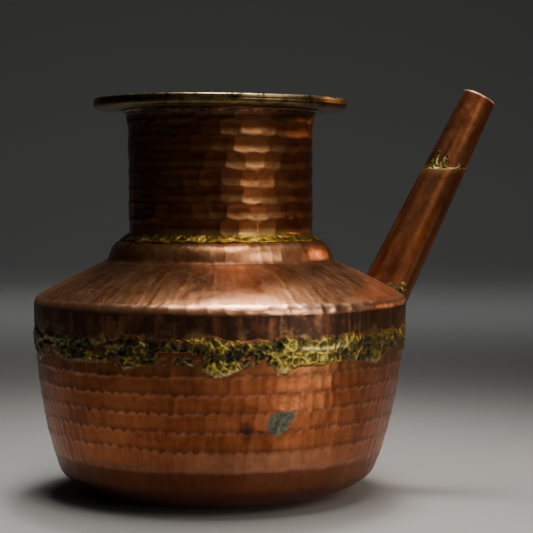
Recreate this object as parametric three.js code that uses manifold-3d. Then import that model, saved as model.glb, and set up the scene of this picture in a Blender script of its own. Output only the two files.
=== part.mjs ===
// A lota: a hammered copper water pot with a round base, a sloping shoulder, a straight neck under
// a thick flat rim, and a tapered pouring spout that straddles the edge of the shoulder.
// It is made as a coppersmith makes it: a bowl, a shoulder, a rolled neck and two rolled spout
// tubes are lapped into one another, and every joint is run full of brass.
// Millimetres, +Z up. The origin is the middle of the resting flat, and the spout leans to +X.
import * as THREE from "three";
import { mergeVertices } from "three/addons/utils/BufferGeometryUtils.js";
import Module from "manifold-3d";

const wasm = await Module();
wasm.setup();

// Sheet and joints
const sheet = 1.2; // body and neck copper
const spoutSheet = 1.1;
const gap = 0.3; // open joint left all round a lapped or seated piece
const brazeSkin = 0.4; // brass that stands over a seam, beyond the gap

// Body, from the floor up
const footRadius = 38; // flat that the pot rests on
const bodyRadius = 95;
const cornerInset = 14.8; // how far in the wall has come where it turns under into the base
const cornerHeight = 13.9;
const wallTop = 97.5; // where the wall starts to turn in to the shoulder
const edgeRound = 2.4; // how far the turn takes it in, and how far it rises
const edgeRise = 4.6;
const shoulderRise = 17.2; // from the turn up to the crease under the collar
const collarWidth = 11.6; // from the neck out to the crease
const collarRise = 11.7;
const collarFoot = 1.6; // the hollow of the crease, and how far above it the hollow ends
const collarFootRise = 2.2;

// Which way the outline runs where two curves meet, in degrees from outwards
const undersideEnd = 55;
const wallStart = 66;
const wallUpright = 89;
const edgeSlope = 148;
const shoulderSlope = 155;
const creaseUpright = 105;
const collarSlope = 168;

// Waist lap: the shoulder's skirt stands inside the bowl's lip
const lipDrop = 16.7; // from the top of the wall down to the bowl's lip
const skirtDepth = 7; // how far the skirt goes down inside
const recessHeight = 6.2; // the set-in above the lip that the brass fills
const bandDrop = 7.3; // how far the brass runs down over the bowl

// Neck and rim
const neckRadius = 47.2;
const neckHeight = 70.6; // what stands above the collar
const neckLap = 3.5; // how far the neck goes down through the collar
const rimOverhang = 17.4; // from the neck out to the rim's edge
const rimThickness = 5.8;
const rimRound = 1.2;
const rimBrazeLeg = 3.2;
const footBrazeRise = 2.6;
const footBrazeRun = 0.34; // share of the collar's curve that the brass covers

// Spout
const spoutTilt = 27; // degrees from upright
const spoutInset = 5.5; // from the edge of the body in to where its axis meets the shoulder
const spoutLength = 113;
const spoutRootRadius = 12.7;
const spoutTipRadius = 9.2; // before the upper tube's step in
const spoutJoint = 70; // from the root to the joint between the two tubes, cut level
const spoutStep = 0.5; // how much the upper tube is the smaller there
const spigotLength = 12; // how far the upper tube goes down inside the lower one
const jointBrazeRise = 3;
const rootBrazeLeg = 1.0;
const rootBrazeRise = 3.4;
const inletLedge = 1.6; // how much smaller than the spout's bore the hole into it is
const inletDepth = 24;

// Lengthwise seams
const neckSeam = 2.4;
const spoutSeam = 1.8;
const seamHeading = 90; // where they lie round their tubes, in degrees from +X

const bodySides = 60;
const spoutSides = 28;
const lipCorner = 0.6; // bevel on the spout's mouth

// Heights and radii that follow
const cornerRadius = bodyRadius - cornerInset;
const creaseRadius = neckRadius + collarWidth;
const creaseHeight = wallTop + edgeRise + shoulderRise;
const collarTop = creaseHeight + collarRise;
const potHeight = collarTop + neckHeight;
const rimRadius = neckRadius + rimOverhang;
const lipHeight = wallTop - lipDrop;
const recessTop = lipHeight + recessHeight;
const bandBottom = lipHeight - bandDrop;
const inletRadius = spoutRootRadius - spoutSheet - inletLedge;

const copper = new THREE.MeshStandardMaterial({ color: 0x9a4f2c, roughness: 0.42, metalness: 1 });
const darkCopper = new THREE.MeshStandardMaterial({ color: 0x6e3018, roughness: 0.4, metalness: 1 });
const spoutCopper = new THREE.MeshStandardMaterial({ color: 0x8a4517, roughness: 0.38, metalness: 1 });
const rimBrass = new THREE.MeshStandardMaterial({ color: 0x8a7440, roughness: 0.45, metalness: 1 });
const seamBrass = new THREE.MeshStandardMaterial({ color: 0xa8953a, roughness: 0.5, metalness: 1 });

const radians = THREE.MathUtils.degToRad;
const at = (r, z) => new THREE.Vector2(r, z);

// A curve from one point to another that leaves and arrives at the given headings, in degrees from
// outwards. Each reach is the length of its handle as a share of the chord.
function bend(start, startHeading, startReach, end, endHeading, endReach) {
  const chord = start.distanceTo(end);
  const handle = (point, heading, length) =>
    at(point.x + length * Math.cos(radians(heading)), point.y + length * Math.sin(radians(heading)));
  return new THREE.CubicBezierCurve(
    start,
    handle(start, startHeading, startReach * chord),
    handle(end, endHeading, -endReach * chord),
    end,
  );
}

// The body's outer outline, from the resting flat to the collar.
const corner = at(cornerRadius, cornerHeight);
const wallEnd = at(bodyRadius, wallTop);
const edgeEnd = at(bodyRadius - edgeRound, wallTop + edgeRise);
const creaseStart = at(creaseRadius, creaseHeight);
const creaseEnd = at(creaseRadius - collarFoot, creaseHeight + collarFootRise);
const collarEnd = at(neckRadius + gap, collarTop);
const underside = bend(at(footRadius, 0), 0, 0.5, corner, undersideEnd, 0.16);
const wall = bend(corner, wallStart, 0.2, wallEnd, wallUpright, 0.42);
const edge = bend(wallEnd, wallUpright, 0.4, edgeEnd, edgeSlope, 0.4);
const shoulder = bend(edgeEnd, edgeSlope, 0.3, creaseStart, shoulderSlope, 0.3);
const crease = bend(creaseStart, shoulderSlope, 0.4, creaseEnd, creaseUpright, 0.4);
const collar = bend(creaseEnd, creaseUpright, 0.45, collarEnd, collarSlope, 0.45);

// The points of a curve between two shares of it, ends included.
const along = (curve, steps, from = 0, to = 1) =>
  Array.from({ length: steps + 1 }, (_, i) => curve.getPoint(from + ((to - from) * i) / steps));

// The share of a curve at which a test on its points turns false.
function shareWhile(curve, test) {
  let low = 0;
  let high = 1;
  for (let i = 0; i < 40; i++) {
    const middle = (low + high) / 2;
    if (test(curve.getPoint(middle))) low = middle;
    else high = middle;
  }
  return (low + high) / 2;
}

const wallShare = (height) => shareWhile(wall, (point) => point.y < height);
const wallRadius = (height) => wall.getPoint(wallShare(height)).x;

// A run of points without repeats.
const joined = (...runs) =>
  runs.flat().filter((p, i, all) => i === 0 || p.distanceTo(all[i - 1]) > 1e-6);

// An outline moved sideways, outwards where the distance is positive.
function shifted(points, distance) {
  return points.map((p, i) => {
    const before = points[Math.max(i - 1, 0)];
    const after = points[Math.min(i + 1, points.length - 1)];
    const first = p.clone().sub(before).normalize();
    const second = after.clone().sub(p).normalize();
    const way = first.add(second).normalize();
    const leg = second.lengthSq() ? second : first;
    const spread = Math.max(Math.abs(way.dot(leg.clone().normalize())), 0.5);
    const share = i === 0 || i === points.length - 1 ? 1 : spread;
    return at(p.x + (distance * way.y) / share, p.y - (distance * way.x) / share);
  });
}

// A closed outline spun round Z. The outline runs up its outer side and down its inner side.
function spun(outline, sides = bodySides) {
  const around = THREE.ShapeUtils.area(outline) < 0 ? [...outline].reverse() : outline;
  const onAxis = Math.abs(around[0].x) < 1e-9 && Math.abs(around.at(-1).x) < 1e-9;
  const closed = onAxis ? around : [...around, around[0]];
  return new THREE.LatheGeometry(closed, sides).rotateX(Math.PI / 2);
}

// The same outline as a solid that can be cut and joined.
function solidOf(geometry) {
  const bare = geometry.clone();
  bare.deleteAttribute("normal");
  bare.deleteAttribute("uv");
  const merged = mergeVertices(bare, 1e-4);
  const index = Array.from(merged.index.array);
  const triangles = [];
  for (let i = 0; i < index.length; i += 3) {
    const [a, b, c] = index.slice(i, i + 3);
    if (a !== b && b !== c && c !== a) triangles.push(a, b, c);
  }
  return new wasm.Manifold(
    new wasm.Mesh({
      numProp: 3,
      vertProperties: merged.attributes.position.array,
      triVerts: new Uint32Array(triangles),
    }),
  );
}

function geometryOf(solid) {
  const made = solid.getMesh();
  const geometry = new THREE.BufferGeometry();
  geometry.setAttribute("position", new THREE.BufferAttribute(made.vertProperties, 3));
  geometry.setIndex(new THREE.BufferAttribute(made.triVerts, 1));
  return geometry;
}

function piece(name, geometry, material) {
  const mesh = new THREE.Mesh(geometry, material);
  mesh.name = name;
  return mesh;
}

// A block that reaches from the axis out through a wall, along Z. It cuts a seam.
function seamBlock(width, reach, height, bottom) {
  return new THREE.BoxGeometry(reach, width, height)
    .translate(reach / 2, 0, bottom + height / 2)
    .rotateZ(radians(seamHeading));
}

// A rolled tube and the brass of its lengthwise seam, cut from one solid.
function rolled(solid, width, reach, height, bottom) {
  const slit = solidOf(seamBlock(width + 2 * gap, reach, height, bottom));
  const seam = solidOf(seamBlock(width, reach, height, bottom));
  return { tube: geometryOf(solid.subtract(slit)), seam: geometryOf(solid.intersect(seam)) };
}

// Lower half: one raised bowl, open at the lip.
function lowerBowl() {
  const outer = joined([at(0, 0)], along(underside, 5), along(wall, 5, 0, wallShare(lipHeight)));
  const inner = shifted(outer, -sheet).reverse();
  inner[inner.length - 1] = at(0, sheet);
  return spun([...outer, ...inner]);
}

// Upper half: a skirt that stands inside the bowl's lip, a step out to the wall, the shoulder and
// the collar round the neck.
const skirtShift = -(sheet + gap);

function shoulderShell() {
  const lap = along(wall, 1, wallShare(lipHeight - skirtDepth), wallShare(lipHeight));
  const outer = joined(
    shifted(lap, skirtShift),
    along(wall, 1, wallShare(recessTop)),
    along(edge, 3),
    along(shoulder, 2),
    along(crease, 1),
    along(collar, 4),
  );
  const inner = shifted(outer, -sheet).reverse();
  inner[0].x = collarEnd.x;
  return solidOf(spun([...outer, ...inner]));
}

// Brass that fills the step above the lip and runs down over the bowl.
const bandSkin = gap + brazeSkin;

function waistBand(outward = 0) {
  const faceHeights = [bandBottom - outward, lipHeight, recessTop + outward];
  const face = faceHeights.map((z) => at(wallRadius(z) + bandSkin + outward, z));
  const seatTop = at(wallRadius(recessTop) + gap - outward, recessTop + outward);
  const stepFoot = wallRadius(lipHeight) + skirtShift;
  const stepShare = gap / recessHeight;
  const stepAcross = (wallRadius(recessTop) - stepFoot) * stepShare;
  return spun([
    at(wallRadius(bandBottom) + gap - outward, bandBottom - outward),
    ...face,
    seatTop,
    at(stepFoot + stepAcross + gap, lipHeight + gap),
    at(wallRadius(lipHeight) + gap - outward, lipHeight + gap),
  ]);
}

// What the spout is fitted against: the body's outside, and the waist brass, moved outwards.
function bodyMould(outward) {
  const outline = joined(
    along(wall, 1, wallShare(bandBottom), wallShare(recessTop)),
    along(wall, 1, wallShare(recessTop)),
    along(edge, 3),
    along(shoulder, 2),
  );
  const skin = shifted(outline, outward);
  const closed = [at(0, skin[0].y), ...skin, at(0, skin.at(-1).y)];
  return solidOf(spun(closed)).add(solidOf(waistBand(outward)));
}

// The neck is a rolled strip. It goes down through the collar and up through the rim.
const neckBottom = collarTop - neckLap;

function neckTube() {
  const bore = neckRadius - sheet;
  const height = potHeight - neckBottom;
  const outline = [at(bore, 0), at(neckRadius, 0), at(neckRadius, height), at(bore, height)];
  return rolled(solidOf(spun(outline)), neckSeam, 2 * neckRadius, height + 2, -1);
}

// The brass that closes the joint round the foot of the neck lies on the collar.
function footBraze() {
  const seat = shifted(along(collar, 2, 1 - footBrazeRun), gap);
  const lowest = seat[0];
  const inside = neckRadius + gap;
  seat[seat.length - 1].x = inside;
  const top = at(inside, collarTop + gap + footBrazeRise);
  const face = new THREE.QuadraticBezierCurve(
    top,
    at(inside + footBrazeRise / 3, collarTop + gap + footBrazeRise / 3),
    at(lowest.x, lowest.y + brazeSkin),
  );
  return spun([...seat, ...along(face, 3)]);
}

// The rim is a thick flat ring round the top of the neck.
function rimRing() {
  const bore = neckRadius + gap;
  const bottom = potHeight - rimThickness;
  const inset = rimRadius - rimRound;
  const lower = new THREE.EllipseCurve(inset, bottom + rimRound, rimRound, rimRound, -Math.PI / 2, 0);
  const upper = new THREE.EllipseCurve(inset, potHeight - rimRound, rimRound, rimRound, 0, Math.PI / 2);
  return spun([at(bore, bottom), ...along(lower, 3), ...along(upper, 3), at(bore, potHeight)]);
}

// Brass in the corner under the rim.
function rimBraze() {
  const inside = neckRadius + gap;
  const top = potHeight - rimThickness - gap;
  const face = new THREE.QuadraticBezierCurve(
    at(inside + brazeSkin, top - rimBrazeLeg),
    at(inside + brazeSkin, top - brazeSkin),
    at(inside + rimBrazeLeg, top),
  );
  return spun([at(inside, top - rimBrazeLeg), ...along(face, 3), at(inside, top)]);
}

// The spout's outer radius at a distance up its axis from the root.
const spoutTaper = (spoutRootRadius - spoutTipRadius) / spoutLength;
const spoutRadius = (up) => spoutRootRadius - spoutTaper * up;

// The spout's own group leans its Z along the axis. This carries body shapes into it.
const spoutRootX = bodyRadius - spoutInset;
const rootShare = shareWhile(shoulder, (point) => point.x > spoutRootX);
const spoutGroup = new THREE.Group();
spoutGroup.position.set(spoutRootX, 0, shoulder.getPoint(rootShare).y);
spoutGroup.rotation.y = radians(spoutTilt);
spoutGroup.updateMatrix();

function inSpoutGroup(solid) {
  return solidOf(geometryOf(solid).applyMatrix4(spoutGroup.matrix.clone().invert()));
}

// Everything between two heights, as it lies in the spout's group.
function layer(bottom, top) {
  const reach = 2 * (bodyRadius + spoutLength);
  const block = new THREE.BoxGeometry(reach, reach, top - bottom);
  return inSpoutGroup(solidOf(block.translate(0, 0, (top + bottom) / 2)));
}

// A length of the spout's tube: outer and inner radius at both ends.
function tubeLength(bottom, top, outerAt, innerAt) {
  const ends = [at(innerAt(bottom), bottom), at(outerAt(bottom), bottom)];
  return solidOf(spun([...ends, at(outerAt(top), top), at(innerAt(top), top)], spoutSides));
}

const spoutLean = Math.tan(radians(spoutTilt));
const jointLevel = spoutGroup.position.z + spoutJoint * Math.cos(radians(spoutTilt));
const jointSlope = spoutRootRadius * spoutLean; // how far along the tube its level cut runs
const highest = jointLevel + spoutLength;
const spoutBore = (up) => spoutRadius(up) - spoutSheet;
const upperRadius = (up) => spoutRadius(up) - spoutStep;
const upperBore = (up) => upperRadius(up) - spoutSheet;
const spigotRadius = (up) => spoutBore(up) - gap;
const spigotBore = (up) => spigotRadius(up) - spoutSheet;

// The lower tube starts well inside the body and is cut back to fit over the shoulder's edge.
function spoutLowerTube() {
  const bottom = -inletDepth;
  const top = spoutJoint + 2 * jointSlope;
  const saddle = tubeLength(bottom, top, spoutRadius, spoutBore)
    .subtract(inSpoutGroup(bodyMould(gap)))
    .subtract(layer(jointLevel, highest));
  return rolled(saddle, spoutSeam, 3 * spoutRootRadius, top - bottom + 2, bottom - 1);
}

// The upper tube stands on the same level cut. Its foot is doubled by a spigot in the lower tube.
function spoutUpperTube() {
  const foot = spoutJoint - jointSlope - spigotLength;
  const mouth = spoutLength - lipCorner;
  const tube = tubeLength(spoutJoint - 2 * jointSlope, mouth, upperRadius, upperBore)
    .intersect(layer(jointLevel + gap, highest));
  const lip = tubeLength(mouth, spoutLength, (up) => upperRadius(up) - lipCorner / 2, upperBore);
  const spigot = tubeLength(foot, spoutJoint + 2 * jointSlope, spigotRadius, spigotBore);
  const height = spoutLength - foot + 2;
  const whole = tube.add(lip).add(spigot);
  return rolled(whole, spoutSeam, 3 * spoutRootRadius, height, foot - 1);
}

// Brass on the lower tube's edge, run up round the upper one.
function jointBraze() {
  const inner = (up) => upperRadius(up) + gap;
  const outer = (up) => inner(up) + brazeSkin;
  const ring = tubeLength(spoutJoint - 2 * jointSlope, spoutJoint + 3 * jointSlope, outer, inner);
  const bottom = jointLevel + gap;
  return ring.intersect(layer(bottom, bottom + jointBrazeRise));
}

// Brass collar round the root, cut to lie on the shoulder, the edge and the wall.
function rootBraze() {
  const inside = (up) => spoutRadius(up) + gap;
  const top = 2 * spoutRootRadius;
  const outline = [
    at(inside(-inletDepth), -inletDepth),
    at(inside(-inletDepth) + rootBrazeLeg, -inletDepth),
    at(inside(top) + rootBrazeLeg, top),
    at(inside(top), top),
  ];
  return solidOf(spun(outline, spoutSides))
    .intersect(inSpoutGroup(bodyMould(gap + rootBrazeRise)))
    .subtract(inSpoutGroup(bodyMould(gap)));
}

// The way from the body into the spout.
function inlet() {
  const drill = new THREE.CylinderGeometry(inletRadius, inletRadius, 2 * inletDepth, spoutSides);
  return solidOf(drill.rotateX(Math.PI / 2).applyMatrix4(spoutGroup.matrix));
}

const body = new THREE.Group();
body.add(
  piece("lower_bowl", lowerBowl(), copper),
  piece("shoulder_shell", geometryOf(shoulderShell().subtract(inlet())), copper),
  piece("waist_braze", waistBand(), seamBrass),
);

const neck = new THREE.Group();
const neckParts = neckTube();
const neckRoll = new THREE.Group();
neckRoll.position.z = neckBottom;
neckRoll.add(
  piece("neck_tube", neckParts.tube, darkCopper),
  piece("neck_seam_braze", neckParts.seam, seamBrass),
);
neck.add(
  neckRoll,
  piece("neck_foot_braze", footBraze(), seamBrass),
  piece("rim_ring", rimRing(), rimBrass),
  piece("rim_braze", rimBraze(), seamBrass),
);

const lowerSpout = spoutLowerTube();
const upperSpout = spoutUpperTube();
spoutGroup.add(
  piece("spout_lower_tube", lowerSpout.tube, spoutCopper),
  piece("spout_lower_seam_braze", lowerSpout.seam, seamBrass),
  piece("spout_upper_tube", upperSpout.tube, spoutCopper),
  piece("spout_upper_seam_braze", upperSpout.seam, seamBrass),
  piece("spout_joint_braze", geometryOf(jointBraze()), seamBrass),
  piece("spout_root_braze", geometryOf(rootBraze()), seamBrass),
);

const lota = new THREE.Group();
lota.add(body, neck, spoutGroup);

export default lota;
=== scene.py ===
import math

import bpy
import numpy as np
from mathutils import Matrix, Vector


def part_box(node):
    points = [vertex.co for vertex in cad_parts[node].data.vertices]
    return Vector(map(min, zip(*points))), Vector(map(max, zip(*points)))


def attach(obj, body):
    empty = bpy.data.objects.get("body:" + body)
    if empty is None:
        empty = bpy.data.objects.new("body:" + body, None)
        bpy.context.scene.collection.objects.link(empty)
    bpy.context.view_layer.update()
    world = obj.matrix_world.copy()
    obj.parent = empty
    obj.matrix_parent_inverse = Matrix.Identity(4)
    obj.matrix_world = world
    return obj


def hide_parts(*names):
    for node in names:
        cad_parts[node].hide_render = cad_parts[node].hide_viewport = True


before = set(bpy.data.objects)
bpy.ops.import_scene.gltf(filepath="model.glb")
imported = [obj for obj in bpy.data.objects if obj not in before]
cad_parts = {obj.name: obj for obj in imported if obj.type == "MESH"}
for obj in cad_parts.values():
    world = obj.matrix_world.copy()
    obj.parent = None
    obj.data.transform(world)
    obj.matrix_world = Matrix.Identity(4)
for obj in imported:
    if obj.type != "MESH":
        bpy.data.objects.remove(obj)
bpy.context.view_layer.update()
print("frame loaded")


# One output of a node. Sums written with these build Math and Vector Math nodes.
class Wire:
    def __init__(self, tree, end=None):
        self.tree = tree
        self.end = end

    def node(self, kind, settings=None, ins=None, out=0):
        made = self.tree.nodes.new(kind)
        for key, value in (settings or {}).items():
            setattr(made, key, value)
        for key, value in (ins or {}).items():
            self.plug(made.inputs[key], value)
        return Wire(self.tree, made.outputs[out])

    def plug(self, socket, value):
        if isinstance(value, Wire):
            self.tree.links.new(value.end, socket)
        elif socket.type == "RGBA":
            socket.default_value = (*value, 1.0)
        else:
            socket.default_value = value

    def isVector(self, value):
        if isinstance(value, Wire):
            return value.end.type in ("VECTOR", "RGBA")
        return isinstance(value, tuple)

    def maths(self, operation, *values, clamp=False):
        if any(self.isVector(v) for v in values):
            spread = [(v,) * 3 if isinstance(v, (int, float)) else v for v in values]
            return self.node("ShaderNodeVectorMath", {"operation": operation}, dict(enumerate(spread)))
        settings = {"operation": operation, "use_clamp": clamp}
        return self.node("ShaderNodeMath", settings, dict(enumerate(values)))

    def __add__(self, other):
        return self.maths("ADD", self, other)

    def __radd__(self, other):
        return self.maths("ADD", other, self)

    def __sub__(self, other):
        return self.maths("SUBTRACT", self, other)

    def __rsub__(self, other):
        return self.maths("SUBTRACT", other, self)

    def __mul__(self, other):
        return self.maths("MULTIPLY", self, other)

    def __rmul__(self, other):
        return self.maths("MULTIPLY", other, self)

    def __truediv__(self, other):
        return self.maths("DIVIDE", self, other)

    def __rtruediv__(self, other):
        return self.maths("DIVIDE", other, self)

    def __pow__(self, other):
        return self.maths("POWER", self, other)

    def clamped(self):
        return self.maths("ADD", self, 0.0, clamp=True)

    def between(self, low, high):
        # 0 below low, 1 above high, eased in the middle
        settings = {"interpolation_type": "SMOOTHSTEP"}
        ins = {"Value": self, "From Min": low, "From Max": high}
        return self.node("ShaderNodeMapRange", settings, ins)


def mixed(share, low, high):
    # low where the share is 0, high where it is 1
    made = share.tree.nodes.new("ShaderNodeMix")
    made.data_type = "RGBA"
    share.plug(made.inputs[0], share)
    share.plug(made.inputs[6], low)
    share.plug(made.inputs[7], high)
    return Wire(share.tree, made.outputs[2])


class Surface:
    # A new material with one Principled shader, and the wires most finishes start from
    def __init__(self, name):
        self.material = bpy.data.materials.new(name)
        self.material.use_nodes = True
        self.tree = self.material.node_tree
        self.shader = self.tree.nodes["Principled BSDF"]
        self.start = Wire(self.tree)
        self.place = self.start.node("ShaderNodeTexCoord", out="Object")

    def mask(self, name):
        return self.start.node("ShaderNodeAttribute", {"attribute_name": name}, out="Fac")

    def noise(self, scale, detail, rough, stretch=None, twist=0.0):
        spot = self.place * stretch if stretch else self.place
        ins = {"Vector": spot, "Scale": scale, "Detail": detail, "Roughness": rough, "Distortion": twist}
        return self.start.node("ShaderNodeTexNoise", {}, ins, "Fac")

    def cells(self, scale):
        # how far each spot is from the edge of its cell
        ins = {"Vector": self.place, "Scale": scale}
        return self.start.node("ShaderNodeTexVoronoi", {"feature": "DISTANCE_TO_EDGE"}, ins, "Distance")

    def bump(self, height, distance, strength):
        ins = {"Height": height, "Distance": distance, "Strength": strength}
        return self.start.node("ShaderNodeBump", {}, ins)

    def finish(self, **ins):
        for key, value in ins.items():
            name = "Base Color" if key == "color" else key.capitalize()
            self.start.plug(self.shader.inputs[name], value)
        return self.material


# Smooth random ups and downs from -1 to 1 over a surface, the same again after one turn
def swell(turn, up, cells, steps, seed):
    table = np.random.default_rng(seed).uniform(-1, 1, (cells, steps + 2))
    x = np.mod(turn, 1) * cells
    y = np.clip(up, 0, 1) * steps
    i = np.floor(x).astype(int) % cells
    j = np.floor(y).astype(int)
    fx = x - np.floor(x)
    fy = y - j
    fx = fx * fx * fx * (fx * (6 * fx - 15) + 10)
    fy = fy * fy * fy * (fy * (6 * fy - 15) + 10)
    k = (i + 1) % cells
    low = table[i, j] * (1 - fx) + table[k, j] * fx
    high = table[i, j + 1] * (1 - fx) + table[k, j + 1] * fx
    return low * (1 - fy) + high * fy


def swells(turn, up, cells, steps, seed, layers=4):
    total = 0.0
    for layer in range(layers):
        total = total + swell(turn, up, cells << layer, steps << layer, seed + layer) / 2**layer
    return total / 1.5


def ease(value, low, high):
    share = np.clip((value - low) / (high - low), 0, 1)
    return share * share * (3 - 2 * share)


# How near a heading is to another, both as shares of a turn, as a bell of that width
def bell(turn, centre, width):
    apart = np.mod(turn - centre + 0.5, 1) - 0.5
    return np.exp(-((apart / width) ** 2))


def degrees(heading):
    return (heading % 360) / 360


# Shares of a turn all round, one for each column, on every row of the given values
def turnsOver(rows, columns):
    return np.arange(columns)[None] / columns + 0 * rows


# Random ups and downs over a surface of the pot, given its turns and heights
def wanderOver(turn, height):
    return lambda cells, steps, seed, layers=4: swells(turn, height / potTop, cells, steps, seed, layers)


# Outlines

# A curve that leaves and arrives at the given headings, in degrees from outwards
def bend(start, startHeading, startReach, end, endHeading, endReach, steps=60):
    start, end = np.array(start), np.array(end)
    chord = np.linalg.norm(end - start)
    leave, arrive = math.radians(startHeading), math.radians(endHeading)
    first = start + startReach * chord * np.array([math.cos(leave), math.sin(leave)])
    second = end - endReach * chord * np.array([math.cos(arrive), math.sin(arrive)])
    t = np.linspace(0, 1, steps)[:, None]
    u = 1 - t
    return u**3 * start + 3 * u * u * t * first + 3 * u * t * t * second + t**3 * end


bodyShape = {
    "foot": 0.038,  # resting flat
    "cornerIn": 0.0148,  # where the wall turns under
    "cornerUp": 0.0139,
    "edgeIn": 0.0024,  # rounding of the shoulder's edge
    "edgeRise": 0.0046,
    "shoulderRise": 0.0172,
    "collarRise": 0.0117,
    "collarFoot": 0.0016,
    "sheet": 0.0012,
    "lap": 0.0015,
    "lean": 0.0022,  # how far the bottom has been knocked towards the back of the spout
    "outOfRound": 0.0005,
}

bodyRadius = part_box("shoulder_shell")[1].y
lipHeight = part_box("lower_bowl")[1].z
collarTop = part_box("shoulder_shell")[1].z
bandFoot, bandTop = (corner.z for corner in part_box("waist_braze"))
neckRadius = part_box("neck_tube")[1].y
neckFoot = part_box("neck_tube")[0].z
rimUnder, potTop = (corner.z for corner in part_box("rim_ring"))
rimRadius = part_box("rim_ring")[1].y


class Outline:
    # A line from the axis outwards and up, with the distance along it at every point
    def __init__(self, points):
        self.points = points
        steps = np.linalg.norm(np.diff(points, axis=0), axis=1)
        self.along = np.concatenate([[0], np.cumsum(steps)])
        way = np.gradient(points, self.along, axis=0)
        way /= np.linalg.norm(way, axis=1)[:, None]
        self.normals = np.stack([way[:, 1], -way[:, 0]], 1)

    def at(self, along):
        find = lambda values: np.interp(along, self.along, values)
        return [find(v) for v in (*self.points.T, *self.normals.T)]

    def reach(self, height):
        # the distance along at which the line passes a height
        return float(np.interp(height, self.points[:, 1], self.along))


def bodyOutline(s):
    corner = (bodyRadius - s["cornerIn"], s["cornerUp"])
    creaseHeight = collarTop - s["collarRise"]
    edgeHeight = creaseHeight - s["shoulderRise"]
    wallEnd = (bodyRadius, edgeHeight - s["edgeRise"])
    edgeEnd = (bodyRadius - s["edgeIn"], edgeHeight)
    crease = (neckRadius + 0.0116, creaseHeight)
    hollow = (crease[0] - s["collarFoot"], creaseHeight + 0.0022)
    runs = [
        np.stack([np.linspace(0.0004, s["foot"], 20), np.zeros(20)], 1),
        bend((s["foot"], 0.0), 0, 0.5, corner, 55, 0.16),
        bend(corner, 66, 0.2, wallEnd, 89, 0.42),
        bend(wallEnd, 89, 0.4, edgeEnd, 148, 0.4),
        bend(edgeEnd, 148, 0.3, crease, 155, 0.3),
        bend(crease, 155, 0.4, hollow, 105, 0.4, 20),
        bend(hollow, 105, 0.45, (neckRadius + 0.0003, collarTop), 168, 0.45),
    ]
    return Outline(np.concatenate([runs[0]] + [run[1:] for run in runs[1:]]))


body = bodyOutline(bodyShape)
wallFoot = body.reach(0.02)
lipAlong = body.reach(lipHeight)
edgeAlong = body.reach(collarTop - bodyShape["collarRise"] - bodyShape["shoulderRise"])
creaseAlong = body.reach(collarTop - bodyShape["collarRise"])
collarAlong = body.along[-1]


def bodyRadiusAt(along):
    return body.at(np.clip(along, 0, collarAlong))[0]


# Hand-made irregularity of the body: it leans, and is a little out of round
def handMade(points, turn):
    x, y, z = points[..., 0], points[..., 1], points[..., 2]
    low = np.clip(1 - z / lipHeight, 0, 1)
    out = 1 + bodyShape["outOfRound"] / bodyRadius * swell(turn, z / potTop, 5, 3, 31)
    return np.stack([x * out - bodyShape["lean"] * low, y * out, z], -1)


# Points of a spun surface: rows run along the outline, columns round the axis
def spun(radius, height, turn):
    angle = 2 * math.pi * turn
    return np.stack([radius * np.cos(angle), radius * np.sin(angle), height + 0 * angle], -1)


# The finished mesh of a piece. Rows join into a loop, or run from pole to pole.
def shaped(name, points, masks, poles=False):
    rows, columns = points.shape[:2]
    vertices = points.reshape(-1, 3)
    last = rows - 1 if poles else rows
    here = np.arange(last)[:, None] * columns
    beyond = (np.arange(last)[:, None] + 1) % rows * columns
    column = np.arange(columns)[None]
    beside = (column + 1) % columns
    faces = np.stack([here + column, here + beside, beyond + beside, beyond + column], -1)
    faces = faces.reshape(-1, 4).tolist()
    if poles:
        ends = [points[0].mean(0), points[-1].mean(0)]
        vertices = np.concatenate([vertices, ends])
        base = rows * columns
        top = (rows - 1) * columns
        ring = list(range(columns))
        faces += [[base, (c + 1) % columns, c] for c in ring]
        faces += [[base + 1, top + c, top + (c + 1) % columns] for c in ring]
    mesh = bpy.data.meshes.new(name)
    mesh.from_pydata(vertices.tolist(), [], faces)
    size = len(vertices)
    for mask, values in masks.items():
        flat = np.zeros(size, np.float32)
        flat[: rows * columns] = np.broadcast_to(values, (rows, columns)).reshape(-1)
        if poles:
            flat[-2:] = flat[0], flat[rows * columns - 1]
        mesh.attributes.new(mask, "FLOAT", "POINT").data.foreach_set("value", flat)
    mesh.update()
    mesh.shade_smooth()
    piece = bpy.data.objects.new(name, mesh)
    bpy.context.scene.collection.objects.link(piece)
    if insideOut(mesh):
        mesh.flip_normals()
    return piece


def insideOut(mesh):
    corners = np.zeros(len(mesh.vertices) * 3)
    mesh.vertices.foreach_get("co", corners)
    corners = corners.reshape(-1, 3)
    mesh.calc_loop_triangles()
    index = np.zeros(len(mesh.loop_triangles) * 3, int)
    mesh.loop_triangles.foreach_get("vertices", index)
    a, b, c = (corners[index[i::3]] for i in range(3))
    return np.einsum("ij,ij->i", a, np.cross(b, c)).sum() < 0


def placed(piece, node, material):
    piece.data.materials.append(material)
    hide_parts(node)
    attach(piece, "root")
    return piece


# Copper's masks for a whole piece. They are given for the outside; the rest is plain and tinned.
def copperMasks(outside, otherRows):
    plain = {"tint": 0.5, "inside": 1.0}
    shape = otherRows, outside["tint"].shape[1]
    outside = {**outside, "inside": 0 * outside["tint"]}
    rest = {mask: np.full(shape, plain.get(mask, 0.0)) for mask in outside}
    return {mask: np.concatenate([values, rest[mask]]) for mask, values in outside.items()}


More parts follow.
